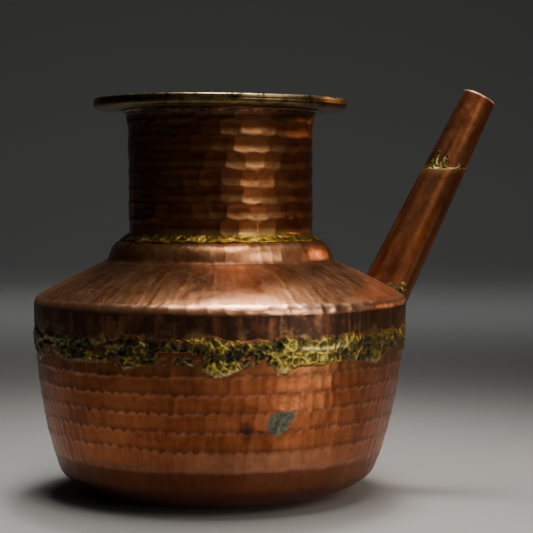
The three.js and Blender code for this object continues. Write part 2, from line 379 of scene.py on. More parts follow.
# Hammer blows, in rows round the pot. Gives how deep each point is struck, a tint for each blow, and
# how high the point lies in its blow, from -1 at the foot to 1 at the top.
def blows(turn, up, radiusAt, style):
    rng = np.random.default_rng(style["seed"])
    pitch = style["pitch"]
    drift = style["drift"] * swell(turn, (up - up.min()) / np.ptp(up), 7, 5, style["seed"] + 1)
    row = np.floor((up + drift) / pitch).astype(int)
    first = row.min() - 1
    rowCount = row.max() + 2 - first
    radii = radiusAt((np.arange(rowCount) + first + 0.5) * pitch)
    counts = np.maximum(np.round(2 * math.pi * radii / style["width"]), 6).astype(int)
    chance = rng.uniform(-1, 1, (rowCount, counts.max(), 6))
    starts = rng.uniform(0, 1, rowCount)
    depth = np.zeros_like(up)
    tint = np.full_like(up, 0.5)
    level = np.zeros_like(up)
    for near in (-1, 0, 1):
        at = row + near - first
        middle = (row + near + 0.5) * pitch - drift
        count = counts[at]
        spot = turn * count + starts[at]
        nearest = np.floor(spot).astype(int)
        for beside in (-1, 0, 1):
            own = chance[at, (nearest + beside) % count]
            aside = own[..., 0] * style["jitter"]
            half = style["halfAcross"] * (1 + 0.22 * own[..., 2])
            across = (spot - nearest - beside - 0.5 - aside) / half
            rise = up - middle - own[..., 1] * style["jitter"] * pitch * 0.4
            rise = rise / (style["halfUp"] * pitch * (1 + 0.5 * style["jitter"] * own[..., 3]))
            within = 1 - np.abs(across) ** 2.2 - np.abs(rise) ** style["square"]
            wall = ease(within, 0, style["brim"])
            slope = 1 - style["lean"] * (np.clip(rise, -1, 1) + 1) / 2
            hit = wall * slope * (1 - style["dish"] * across**2) * (1 + style["uneven"] * own[..., 4])
            deeper = hit > depth
            depth = np.where(deeper, hit, depth)
            tint = np.where(deeper, 0.5 + 0.5 * own[..., 5], tint)
            level = np.where(deeper, rise, level)
    return depth * style["depth"], tint, level


# Copper

copperLook = {
    "deep": (0.175, 0.04, 0.013),
    "warm": (0.43, 0.137, 0.049),
    # pale copper of wear, and of painted highlights
    "wearAndSheen": (0.84, 0.46, 0.29),
    # near black of soot, and of painted shade
    "sootAndShade": (0.018, 0.006, 0.004),
    "gold": (0.5, 0.33, 0.1),
    "greens": ((0.022, 0.02, 0.01), (0.12, 0.13, 0.075)),
    "tin": (0.33, 0.3, 0.26),
    "roughness": 0.33,
    "patchy": 0.6,  # how much the tone wanders
}


def copperFinish(name, look, streaks=None, pale=0.0):
    s = Surface(name)
    wearAndSheen, tint, sootAndShade = s.mask("wearAndSheen"), s.mask("tint"), s.mask("sootAndShade")
    gold, green, inside = s.mask("gold"), s.mask("green"), s.mask("inside")
    cloud = s.noise(22.0, 5.0, 0.6, twist=0.6)
    blotch = s.noise(75.0, 6.0, 0.68, twist=1.1)
    fine = s.noise(420.0, 5.0, 0.62)
    pits = s.noise(1500.0, 3.0, 0.6)
    brushed = s.noise(380.0, 3.0, 0.6, stretch=(1.0, 1.0, 0.1))
    tone = 0.5 + (cloud - 0.5) * look["patchy"] * 1.6 + (blotch - 0.5) * look["patchy"] * 1.6
    tone = tone + (tint - 0.5) * 0.34 + (fine - 0.5) * 0.2 + (brushed - 0.5) * 0.5 + pale
    if streaks:
        tone = tone + (s.noise(streaks[0], 3.0, 0.6, stretch=streaks[1]) - 0.5) * streaks[2]
    color = mixed(tone.between(0.1, 0.95), look["deep"], look["warm"])
    # Paler where the wear-and-sheen mask says: wear, and on some pieces painted highlights.
    brightening = (wearAndSheen * (0.45 + fine) + (blotch - 0.5) * wearAndSheen * 0.9).clamped()
    color = mixed(brightening * 0.8, color, look["wearAndSheen"])
    # Darker where the soot-and-shade mask says: soot, and on some pieces painted shade.
    shadeAndGrime = (sootAndShade + (blotch - 0.5) * 1.3 * sootAndShade + (fine - 0.5) * 0.5 * sootAndShade).clamped()
    color = mixed(shadeAndGrime * 0.95, color, look["sootAndShade"])
    wash = (gold * 1.3 + (blotch - 0.5) * 2.2 * gold).clamped()
    color = mixed(wash, color, look["gold"])
    crust = s.noise(260.0, 6.0, 0.7, twist=1.4)
    patch = (green * 1.5 - 0.3 + (crust - 0.5) * 1.4).between(0.05, 0.75) * green.between(0.02, 0.3)
    scum = mixed((crust + (fine - 0.5) * 0.5).between(0.36, 0.7), look["greens"][0], look["greens"][1])
    color = mixed(patch, color, scum)
    color = mixed(inside, color, mixed(cloud.between(0.35, 0.7), (0.1, 0.06, 0.04), look["tin"]))
    rough = look["roughness"] + (blotch - 0.5) * 0.24 + (fine - 0.5) * 0.16 + shadeAndGrime * 0.12 + patch * 0.3
    rough = rough - brightening * 0.05 + inside * 0.14
    metal = 1 - patch * 0.8 - shadeAndGrime * 0.25
    relief = fine * 0.6 + pits * 0.35 + blotch * 0.9 + patch * crust * 0.5
    normal = s.bump(relief, 0.00022, 0.5)
    return s.finish(color=color, roughness=rough.clamped(), metallic=metal.clamped(), normal=normal)


# Brass run into the seams

brassLook = {
    "pocket": (0.009, 0.008, 0.003),
    "olive": (0.075, 0.056, 0.01),
    "yellow": (0.42, 0.31, 0.06),
    "cream": (0.85, 0.68, 0.34),
    "copper": (0.16, 0.04, 0.014),
    "net": 230.0,  # cells of the puddled brass to a metre
}


def brassFinish(name, look, bright=0.0):
    s = Surface(name)
    height, edge, ridge = s.mask("height"), s.mask("edge"), s.mask("ridge")
    mottle = s.noise(210.0, 6.0, 0.72, twist=1.2)
    blotch = s.noise(52.0, 4.0, 0.6, twist=0.8)
    net = 1 - s.cells(look["net"]).between(0.0, 0.2)
    fine = s.noise(640.0, 5.0, 0.65)
    # The height mask carries the brass's tone. On some pieces it also carries painted highlights by heading.
    tone = height * 0.5 + (mottle - 0.5) * 1.3 + (blotch - 0.5) * 0.6 + (net - 0.35) * 0.3 + bright
    color = mixed(tone.between(-0.02, 0.34), look["pocket"], look["olive"])
    color = mixed(tone.between(0.32, 0.8), color, look["yellow"])
    # Cream where the ridge mask says, on crests of the brass. On several pieces this is a painted highlight.
    shine = (ridge * (0.35 + mottle * 1.3)).clamped() * fine.between(0.3, 0.55)
    color = mixed(shine, color, look["cream"])
    color = mixed((edge + (mottle - 0.5) * 1.6 * edge).clamped() * 0.85, color, look["copper"])
    rough = 0.42 + (mottle - 0.5) * 0.4 - tone * 0.08 + (fine - 0.5) * 0.2
    metal = 0.7 + tone.between(0.2, 0.7) * 0.28
    relief = mottle * 1.4 + fine * 0.5 + blotch + net * 0.7
    normal = s.bump(relief, 0.0005, 0.6)
    return s.finish(color=color, roughness=rough.clamped(), metallic=metal.clamped(), normal=normal)


# Turned brass of the rim

rimLook = {
    # dull brass, painted darker still as shade for the dark surroundings it reflects
    "dullAndShaded": (0.025, 0.015, 0.006),
    "gold": (0.17, 0.11, 0.038),
    "bright": (0.7, 0.54, 0.28),
    "verdigris": (0.07, 0.09, 0.055),
}


def rimFinish(name, look):
    s = Surface(name)
    under, ridge = s.mask("under"), s.mask("ridge")
    cloud = s.noise(30.0, 5.0, 0.62, twist=0.5)
    mottle = s.noise(170.0, 6.0, 0.7, twist=1.0)
    fine = s.noise(900.0, 4.0, 0.6)
    tone = 0.45 + (cloud - 0.5) * 1.5 + (mottle - 0.5) * 1.3
    color = mixed(tone.between(0.1, 0.85), look["dullAndShaded"], look["gold"])
    color = mixed(ridge * mottle.between(0.3, 0.62) * 0.6, color, look["bright"])
    color = mixed(under * mottle.between(0.35, 0.7) * 0.7, color, look["verdigris"])
    rough = 0.36 + (mottle - 0.5) * 0.35 + under * 0.16 - ridge * 0.06
    normal = s.bump(mottle + fine * 0.5, 0.0002, 0.55)
    metal = 1 - under * 0.35
    return s.finish(color=color, roughness=rough.clamped(), metallic=metal.clamped(), normal=normal)


bodyCopper = copperFinish("body copper", copperLook)
# The shoulder's copper is a paler copy of the body's, painted light for the lamps above falling on its slope.
shoulderLook = dict(copperLook, warm=(0.6, 0.27, 0.12), deep=(0.32, 0.105, 0.036), patchy=0.3)
shoulderCopper = copperFinish("shoulder copper", shoulderLook)
neckLook = dict(
    copperLook, deep=(0.13, 0.022, 0.006), warm=(0.3, 0.078, 0.022), wearAndSheen=(0.78, 0.42, 0.17), patchy=0.4
)
neckCopper = copperFinish("neck copper", neckLook)
spoutLook = dict(copperLook, deep=(0.09, 0.017, 0.003), warm=(0.29, 0.064, 0.009), patchy=0.4, roughness=0.46)
spoutCopper = copperFinish("spout copper", spoutLook, streaks=(46.0, (1.0, 1.0, 0.12), 0.9), pale=-0.14)
seamBrass = brassFinish("seam brass", brassLook, bright=0.05)
footLook = dict(brassLook, olive=(0.11, 0.06, 0.008), yellow=(0.56, 0.37, 0.03), cream=(0.85, 0.62, 0.14))
footBrass = brassFinish("neck foot brass", footLook, bright=0.2)
filletLook = dict(brassLook, olive=(0.09, 0.04, 0.02), yellow=(0.34, 0.16, 0.09), cream=(0.62, 0.4, 0.28))
filletBrass = brassFinish("rim fillet brass", filletLook)
rimBrass = rimFinish("rim brass", rimLook)
print("finishes made")


# Bowl

bowlLook = {
    "columns": 704,
    "wallStep": 0.00088,
    "baseStep": 0.0024,
    "patch": {"heading": -83.6, "height": 0.0474, "across": 0.0088, "up": 0.0067},
    "wall": {
        "seed": 5, "pitch": 0.0088, "width": 0.0055, "halfAcross": 0.66, "halfUp": 0.6, "square": 3,
        "depth": 0.00022, "lean": -1.1, "dish": 0.6, "brim": 0.55, "jitter": 0.12, "drift": 0.0012,
        "uneven": 0.25,
    },
    "base": {
        "seed": 11, "pitch": 0.012, "width": 0.0095, "halfAcross": 0.7, "halfUp": 0.7, "square": 2,
        "depth": 0.00016, "lean": 0.2, "dish": 0.7, "brim": 0.9, "jitter": 0.3, "drift": 0.002,
        "uneven": 0.4,
    },
    "lowestRow": 0.0238,  # height at which the rows stop
    "lastRow": 1.25,  # how much taller the last row is
}


def bowl(look):
    base = np.arange(0, wallFoot - 0.012, look["baseStep"])
    wall = np.linspace(wallFoot - 0.012, lipAlong, int((lipAlong - wallFoot + 0.012) / look["wallStep"]))
    columns = look["columns"]
    along = np.concatenate([base, wall])[:, None] + np.zeros((1, columns))
    turn = turnsOver(along, columns)
    radius, height, outward, upward = body.at(along)
    wander = wanderOver(turn, height)
    lastRow = body.reach(look["lowestRow"])
    fromLast, taller, rowPitch = along - lastRow, look["lastRow"], look["wall"]["pitch"]
    above = fromLast - (taller - 1) * rowPitch
    fromLast = np.where(fromLast < taller * rowPitch, fromLast / taller, above)
    wallHit, wallTint, wallLevel = blows(turn, fromLast, lambda a: bodyRadiusAt(a + lastRow), look["wall"])
    baseHit, baseTint, _ = blows(turn, along, bodyRadiusAt, look["base"])
    ragged = 0.0006 * swells(turn, 0 * turn, 60, 2, 91)
    share = ease(along + ragged, lastRow - 0.0012, lastRow + 0.0008)
    fade = ease(along, 0.02, 0.05)
    hit = wallHit * share + baseHit * (1 - share) * fade
    hit = hit + 0.00004 * wander(200, 80, 97, 2) * share
    tint = wallTint * share + (0.5 + 0.3 * baseTint) * (1 - share)
    spot = look["patch"]
    aside = (np.mod(turn - degrees(spot["heading"]) + 0.5, 1) - 0.5) * 2 * math.pi * radius
    crumble = 0.2 * wander(90, 36, 71)
    rise = (height - spot["height"]) / spot["up"]
    sideways = (aside - 0.0022 * rise) / (spot["across"] * (0.78 + 0.26 * rise))
    green = 1.26 - (np.abs(sideways) ** 3 + np.abs(rise) ** 3) ** (1 / 3) + crumble
    green = np.clip(green, 0, 1)
    push = 0.0002 - hit * (1 - 0.6 * green) + 0.00025 * wander(24, 12, 41)
    push = push * ease(along, 0.034, 0.06) + 0.00012 * green
    outer = spun(radius + push * outward, height + push * upward, turn)
    innerRows = np.linspace(lipAlong, 0, 16)[:, None] + 0 * turn[:1]
    innerTurn = turn[: len(innerRows)]
    r, z, nr, nz = body.at(innerRows)
    sheet = bodyShape["sheet"]
    inner = spun(np.maximum(r - sheet * nr, 0.0004), z - sheet * nz, innerTurn)
    lip = (outer[-1:] + inner[:1]) / 2 + np.array([0, 0, 0.0002])
    points = np.concatenate([outer, lip, inner])
    points = handMade(points, np.concatenate([turn, turn[:1], innerTurn]))
    nearBand = ease(height, bandFoot - 0.011, bandFoot + 0.004)
    streaky = 0.5 + 0.5 * wander(60, 8, 77)
    frayed = 0.6 + 0.6 * wander(90, 40, 81)
    struck = share * ease(wallHit, 0, 0.00003)
    topEdge = ease(wallLevel, 0.45, 0.95) * struck * np.clip(frayed, 0, 1)
    # Darker at the foot of each blow: grime in the groove, and painted shade under the step above it.
    foot = (1 - ease(wallLevel, -0.8, -0.2)) * struck * np.clip(1.2 - 0.6 * frayed, 0, 1)
    lowEdge = (1 - ease(fromLast, 0.001, 0.005)) * share * (1 - ease(wallLevel, -0.9, -0.2))
    rust = wander(40, 20, 95)
    besidePatch = np.exp(-((aside / 0.02 + 0.75) ** 2 * 3) - ((height - 0.045) / 0.006) ** 2)
    # Painted highlight: the last row is paler where it faces the lamps, around heading -85.
    onLast = share * (1 - ease(fromLast, 0.7 * rowPitch, rowPitch)) * bell(turn, degrees(-85), 0.08)
    # The base below the last row is painted darker, as shade, since it faces down to the shaded floor.
    sootAndShade = 0.5 * foot + 0.5 * (1 - share) + 0.6 * nearBand * streaky + 0.5 * besidePatch * (rust > 0.1)
    masks = {
        "wearAndSheen": np.clip(0.24 * topEdge + 0.34 * lowEdge + 0.24 * onLast, 0, 1),
        "tint": 0.5 + 0.42 * (tint - 0.5),
        "sootAndShade": np.clip(sootAndShade + 0.1, 0, 1),
        "gold": 0.12 * nearBand * (1 - streaky),
        "green": green,
    }
    masks = copperMasks(masks, len(inner) + 1)
    return placed(shaped("bowl", points, masks, poles=True), "lower_bowl", bodyCopper)


bowl(bowlLook)
print("bowl made")


# Shoulder: upper wall, edge, slope and collar in one sheet

shoulderStyle = {
    "columns": 704,
    "step": 0.0008,
    "scratch": 0.00002,  # depth of the fine turned lines below the collar
    "scratchPitch": 0.0017,
    "wall": {
        "seed": 21, "pitch": 0.0125, "width": 0.0048, "halfAcross": 0.62, "halfUp": 0.7, "square": 4,
        "depth": 0.0002, "lean": -0.2, "dish": 0.6, "brim": 0.5, "jitter": 0.22, "drift": 0.0008,
        "uneven": 0.5,
    },
    "edge": {
        "seed": 29, "pitch": 0.0058, "width": 0.0088, "halfAcross": 0.56, "halfUp": 0.62, "square": 2,
        "depth": 0.00052, "lean": 0.1, "dish": 0.1, "brim": 1.1, "jitter": 0.14, "drift": 0.0002,
        "uneven": 0.45,
    },
    "slope": {
        "seed": 23, "pitch": 0.017, "width": 0.0033, "halfAcross": 0.68, "halfUp": 0.66, "square": 3,
        "depth": 0.00009, "lean": 0.3, "dish": 0.75, "brim": 0.5, "jitter": 0.34, "drift": 0.002,
        "uneven": 0.4,
    },
    "collar": {
        "seed": 27, "pitch": 0.0065, "width": 0.006, "halfAcross": 0.7, "halfUp": 0.7, "square": 2,
        "depth": 0.00014, "lean": 0.2, "dish": 0.8, "brim": 0.6, "jitter": 0.35, "drift": 0.001,
        "uneven": 0.4,
    },
}


def shoulder(look):
    columns = look["columns"]
    start = body.reach(lipHeight - 0.007)
    rows = int((collarAlong - start) / look["step"])
    along = np.linspace(start, collarAlong, rows)[:, None] + np.zeros((1, columns))
    turn = turnsOver(along, columns)
    radius, height, outward, upward = body.at(along)
    wander = wanderOver(turn, height)
    fromEdge = along - edgeAlong + 0.0056
    nearEdge = lambda a: bodyRadiusAt(a + edgeAlong)
    wallHit, wallTint, _ = blows(turn, fromEdge, nearEdge, look["wall"])
    edgeHit, _, _ = blows(turn, fromEdge, nearEdge, look["edge"])
    slopeHit, slopeTint, _ = blows(turn, along, bodyRadiusAt, look["slope"])
    collarHit, collarTint, _ = blows(turn, along, bodyRadiusAt, look["collar"])
    rounding = ease(fromEdge, -0.0004, 0.0006) * (1 - ease(fromEdge, 0.0052, 0.0064))
    # Painted light: around headings -72 and 100 the edge faces the lamps. There its rounding is painted pale
    # and struck deeper, and elsewhere it is painted shaded.
    brightening = 0.3 + 0.7 * (bell(turn, degrees(-72), 0.075) + bell(turn, degrees(100), 0.2)).clip(0, 1)
    onSlope = ease(along, edgeAlong - 0.0008, edgeAlong + 0.001)
    onCollar = ease(along, creaseAlong - 0.001, creaseAlong + 0.001)
    hit = wallHit * (1 - onSlope) * (1 - rounding) + edgeHit * rounding * (0.5 + 0.5 * brightening)
    hit = hit + slopeHit * onSlope * (1 - onCollar) + collarHit * onCollar
    tint = wallTint * (1 - onSlope) + slopeTint * onSlope * (1 - onCollar) + collarTint * onCollar
    skirt = 1 - ease(height, lipHeight, lipHeight + 0.006)
    ending = ease(collarAlong - along, 0, 0.002)
    nearCollar = ease(along, creaseAlong - 0.016, creaseAlong - 0.002) * (1 - onCollar)
    waver = 3 * swell(turn, 0 * turn, 9, 2, 87)
    scratches = look["scratch"] * np.cos(along * 2 * math.pi / look["scratchPitch"] + waver) * nearCollar
    push = 0.00012 - hit * (1 - skirt) * ending + 0.0002 * wander(24, 12, 43) * ending
    push = push - bodyShape["lap"] * skirt - scratches
    outer = spun(radius + push * outward, height + push * upward, turn)
    innerAlong = np.linspace(collarAlong, start, 24)[:, None] + 0 * turn[:1]
    innerTurn = turn[: len(innerAlong)]
    r, z, nr, nz = body.at(innerAlong)
    drop = bodyShape["sheet"] + bodyShape["lap"] * (1 - ease(z, lipHeight, lipHeight + 0.006))
    inner = spun(r - drop * nr, z - drop * nz, innerTurn)
    points = handMade(np.concatenate([outer, inner]), np.concatenate([turn, innerTurn]))
    wallPart = 1 - ease(along, edgeAlong - 0.0056, edgeAlong - 0.0042)
    crease = np.exp(-(((along - creaseAlong - 0.0012) / 0.0016) ** 2))
    blotches = 0.5 + 0.5 * wander(30, 14, 79)
    lowWall = 1 - ease(height, bandTop - 0.002, bandTop + 0.007)
    crest = np.exp(-(((along - edgeAlong + 0.0002) / 0.0007) ** 2))
    fleck = np.clip(wander(120, 60, 83), 0, 1)
    strokes = wander(260, 9, 85, 3)
    wearAndSheen = 0.8 * crest + 0.6 * rounding * brightening + 0.4 * fleck * onSlope
    # Painted shade: the upper wall below the edge is painted near black, standing in for the dark it
    # reflects. The crease at the collar is painted darker too.
    sootAndShade = 0.95 * wallPart * (1 - 0.35 * np.clip(strokes, -1, 1)) + 0.5 * crease
    sootAndShade = sootAndShade + 0.8 * rounding * (1 - brightening) * (1 - crest)
    masks = {
        "wearAndSheen": np.clip(wearAndSheen + 0.3 * np.clip(strokes, 0, 1) * onSlope, 0, 1),
        "tint": tint,
        "sootAndShade": np.clip(sootAndShade + 0.1 * onCollar + 0.16 * onCollar * blotches, 0, 1),
        "gold": np.clip(0.5 * lowWall * fleck + 0.3 * onCollar * blotches * fleck, 0, 1),
        "green": 0 * height,
    }
    piece = shaped("shoulder", points, copperMasks(masks, len(inner)))
    return placed(piece, "shoulder_shell", shoulderCopper)


shoulderPiece = shoulder(shoulderStyle)
print("shoulder made")


# Brass round the waist

waistStyle = {
    "columns": 1000,
    "rows": 44,
    "thick": 0.0007,
    "over": 0.0052,  # how far past the plain band the brass may creep
    # heading, width and drop of the places where it ran down
    "runs": ((-102, 0.017, 0.005), (-84, 0.009, 0.004), (-131, 0.008, 0.0022), (-49, 0.012, 0.002),
             (20, 0.013, 0.003), (75, 0.02, 0.0036), (140, 0.014, 0.003), (185, 0.011, 0.0034)),
}


def waist(look):
    columns, rows = look["columns"], look["rows"]
    low, high = bandFoot - look["over"], bandTop + look["over"] * 0.6
    along = np.linspace(body.reach(low), body.reach(high), rows)[:, None] + np.zeros((1, columns))
    turn = turnsOver(along, columns)
    radius, height, outward, upward = body.at(along)
    wander = wanderOver(turn, height)
    foot = bandFoot + 0.0006 + 0.0019 * swells(turn, 0.3 + 0 * turn, 34, 2, 101, 4)
    top = bandTop + 0.0006 + 0.0022 * swells(turn, 0.6 + 0 * turn, 44, 2, 107, 4)
    tongue = 0 * turn
    for heading, width, drop in look["runs"]:
        foot = foot - drop * bell(turn, degrees(heading), width)
        tongue = tongue + drop / 0.005 * bell(turn, degrees(heading), width * 0.8)
    inside = np.minimum(height - foot, top - height)
    patchy = 0.0008 + 0.0022 * bell(turn, degrees(-165), 0.11) + 0.0012 * bell(turn, degrees(-25), 0.06)
    thin = patchy * np.clip(wander(70, 30, 131, 3) - 0.12, 0, 1)
    lumps = 0.5 - 1.9 * np.abs(wander(96, 44, 113, 3))
    broad = wander(40, 16, 119, 3)
    ridgeLevel = lipHeight + 0.0013 + 0.0009 * swell(turn, 0 * turn, 30, 2, 123)
    # The ridge is strongest around heading -72, where the lamps fall, and there it is painted cream as a
    # glint.
    strength = 0.5 * swell(turn, 0 * turn, 24, 2, 127) - 0.1 + 0.9 * bell(turn, degrees(-72), 0.024)
    ridge = np.exp(-(((height - ridgeLevel) / 0.0007) ** 2)) * np.clip(strength, 0, 1)
    bed = look["thick"] * ease(inside, -0.0012, 0.0022)
    thick = bed * (0.75 + 0.8 * lumps + 0.45 * broad) + 0.00045 * ridge * ease(inside, 0, 0.002)
    thick = thick - 0.0006 * (1 - ease(inside, -0.0016, 0.0006)) - thin
    outer = spun(radius + thick * outward, height + thick * upward, turn)
    back = along[::-1][::4]
    r, z, nr, nz = body.at(back)
    inner = spun(r - 0.0018 * nr, z - 0.0018 * nz, turn[: len(back)])
    points = handMade(np.concatenate([outer, inner]), turn[0])
    rest = np.zeros((len(back), columns))
    tongue = np.clip(tongue, 0, 1)
    nearFoot = np.exp(-(((height - foot - 0.0012) / 0.0011) ** 2)) * tongue
    onTongue = ease(lipHeight - 0.002 - height, 0, 0.003) * tongue
    pocket = np.exp(-(((height - lipHeight + 0.0022) / 0.0014) ** 2)) * tongue
    lit = 0.3 * bell(turn, degrees(-78), 0.09) + 0.15 * bell(turn, degrees(95), 0.2)
    tone = 0.4 + 0.8 * lumps + 0.45 * broad + 0.6 * ridge + 0.3 * onTongue - 0.5 * pocket + lit
    masks = {
        "height": np.clip(tone, 0, 1.6),
        "edge": 1 - ease(inside, -0.0002, 0.0018),
        "ridge": np.clip(ridge + 0.6 * nearFoot, 0, 1),
    }
    masks = {mask: np.concatenate([values, rest]) for mask, values in masks.items()}
    return placed(shaped("waist_brass", points, masks), "waist_braze", seamBrass)


waist(waistStyle)
print("waist brass made")


# Neck

neckStyle = {
    "columns": 560,
    "rows": 150,
    "flare": 0.0011,
    "phase": 0.0032,  # how far the rows of blows are set down from the neck's foot
    "blows": {
        "seed": 51, "pitch": 0.0081, "width": 0.0094, "halfAcross": 0.8, "halfUp": 0.66, "square": 2,
        "depth": 0.00058, "lean": 0.1, "dish": 0.1, "brim": 1.15, "jitter": 0.2, "drift": 0.0009,
        "uneven": 0.2,
    },
}


def neck(look):
    columns, rows = look["columns"], look["rows"]
    height = np.linspace(neckFoot, potTop, rows)[:, None] + np.zeros((1, columns))
    turn = turnsOver(height, columns)
    wander = wanderOver(turn, height)
    fromFoot = height - neckFoot + look["phase"]
    hit, tint, level = blows(turn, fromFoot, lambda a: neckRadius + 0 * a, look["blows"])
    calm = ease(height, neckFoot + 0.003, neckFoot + 0.007) * ease(rimUnder - height, 0, 0.004)
    flare = look["flare"] * ease(height, rimUnder - 0.014, rimUnder) ** 2
    push = 0.00018 - hit * calm + 0.00016 * wander(12, 10, 53) * calm
    push = push + 0.00008 * wander(60, 70, 55, 3) * calm
    push = push + flare * (1 - ease(height, rimUnder, rimUnder + 0.001))
    outer = spun(neckRadius + push, height, turn)
    innerHeight = np.linspace(potTop, neckFoot, 40)[:, None] + 0 * turn[:1]
    innerTurn = turn[: len(innerHeight)]
    dents = 0.00012 * wanderOver(innerTurn, innerHeight)(30, 24, 59)
    inner = spun(neckRadius - bodyShape["sheet"] + dents, innerHeight, innerTurn)
    points = np.concatenate([outer, inner])
    sootAndShade = 0.3 + 0.2 * wander(10, 10, 57)
    # Painted shadow just under the rim.
    nearRim = ease(height, rimUnder - 0.012, rimUnder - 0.003)
    foot = 1 - ease(height, collarTop + 0.002, collarTop + 0.006)
    # Painted shade between the rows of blows.
    between = ease(np.abs(level), 0.5, 0.85)
    masks = {
        # painted highlight on the lower half of each blow, which faces up to the lamps
        "wearAndSheen": np.clip(0.4 * (1 - ease(np.abs(level + 0.35), 0.1, 0.4)), 0, 1),
        "tint": tint,
        "sootAndShade": np.clip(sootAndShade + 0.35 * nearRim + 0.35 * between, 0, 1),
        "gold": np.clip(0.3 * foot + 0.06 * (1 - sootAndShade), 0, 1),
        "green": 0 * height,
    }
    piece = shaped("neck", points, copperMasks(masks, len(inner)))
    return placed(piece, "neck_tube", neckCopper)


neck(neckStyle)
print("neck made")


# Rim

rimStyle = {
    "columns": 540,
    "corner": 0.0013,
    "under": 0.0026,  # rounding of the lower edge
    "groove": 0.00011,
    "grooves": 5,
    "ring": 0.00005,  # depth of the turned rings on top
    "ringPitch": 0.0016,
    "nick": 0.00035,
    "warp": 0.0005,
}


def rim(look):
    columns = look["columns"]
    corner, turned, bore = look["corner"], look["under"], neckRadius + 0.0003
    quarter = np.linspace(0, math.pi / 2, 8)
    arcIn, arcUp = 1 - np.sin(quarter), 1 - np.cos(quarter)
    inset = rimRadius - corner
    under = np.stack([np.linspace(bore, rimRadius - turned, 16), np.full(16, rimUnder)], 1)
    lower = np.stack([rimRadius - turned * arcIn, rimUnder + turned * arcUp], 1)
    side = np.linspace(rimUnder + turned, potTop - corner, 30)
    edge = np.stack([np.full(30, rimRadius), side], 1)
    upper = np.stack([inset + corner * np.cos(quarter), potTop - corner * arcIn], 1)
    top = np.stack([np.linspace(inset, bore, 34), np.full(34, potTop)], 1)
    outline = np.concatenate([under, lower[1:], edge[1:], upper[1:], top[1:]])
    r, z = outline.T[:, :, None] + np.zeros((1, 1, columns))
    turn = turnsOver(r, columns)
    share = (z - rimUnder) / (potTop - rimUnder)
    onEdge = ease(r, inset, rimRadius - corner * 0.3) * ease(share, 0.1, 0.25) * ease(-share, -0.95, -0.8)
    cut = look["groove"] * (0.5 + 0.5 * np.cos(share * 2 * math.pi * look["grooves"]))
    cut = cut * onEdge * (0.7 + 0.5 * swell(turn, share, 40, 2, 201))
    onTop = ease(z, potTop - 0.0001, potTop)
    rings = look["ring"] * np.cos(r * 2 * math.pi / look["ringPitch"]) * onTop
    nicks = look["nick"] * np.clip(swells(turn, share, 70, 3, 203) - 0.62, 0, 1)
    nicks = nicks * ease(r, inset - 0.002, rimRadius)
    warp = look["warp"] * swell(turn, 0 * turn, 5, 2, 207) * ease(r, neckRadius, rimRadius)
    points = spun(r - cut - nicks, z + warp - rings - 0.6 * look["warp"] * onTop, turn)
    # Painted highlight on the rim's top outer corner. The crests of the turned grooves are paler too.
    crest = ease(share, 0.78, 0.92) * ease(r, inset - 0.0015, inset + 0.0004)
    masks = {
        "under": 1 - ease(share, 0.0, 0.12) + 0 * r,
        "ridge": np.clip(crest + 0.25 * onEdge * (1 - cut / look["groove"]), 0, 1),
    }
    return placed(shaped("rim", points, masks), "rim_ring", rimBrass)


rim(rimStyle)
print("rim made")


# A lumpy ring of brass in a corner. Its section is given as corners, each a radius and a height.
def bead(name, node, outline, lump, cells, seed, material, columns=420, drips=()):
    outline = np.array(outline)
    steps = np.linalg.norm(np.diff(np.concatenate([outline, outline[:1]]), axis=0), axis=1)
    ends = np.concatenate([[0], np.cumsum(steps)])
    spots = np.linspace(0, ends[-1], 40, endpoint=False)
    loop = np.concatenate([outline, outline[:1]])
    r = np.interp(spots, ends, loop[:, 0])[:, None] + np.zeros((1, columns))
    z = np.interp(spots, ends, loop[:, 1])[:, None] + np.zeros((1, columns))
    turn = turnsOver(r, columns)
    share = spots[:, None] / ends[-1] + 0 * r
    middle = outline.mean(0)
    away = np.hypot(r - middle[0], z - middle[1]) + 1e-9
    outR, outZ = (r - middle[0]) / away, (z - middle[1]) / away
    lumps = swells(turn, share, cells, 6, seed, 3)
    grow = lump * (lumps + 0.15)
    for heading, width, drop in drips:
        near = bell(turn, degrees(heading), width)
        grow = grow + drop * near * np.clip(outR - outZ, 0, 1)
    points = spun(r + grow * outR, z + grow * outZ, turn)
    # Painted highlight: paler where the brass faces out and up, and lighter around headings -80 and 100,
    # where the lamps fall.
    shine = np.clip(lumps * 1.4, 0, 1) * np.clip(outR + outZ, 0, 1) * 0.7
    tone = 0.4 + 0.5 * lumps + 0.4 * (bell(turn, degrees(-80), 0.09) + bell(turn, degrees(100), 0.2))
    masks = {"height": np.clip(tone, 0, 1.4), "edge": 0 * r, "ridge": shine}
    return placed(shaped(name, points, masks), node, material)


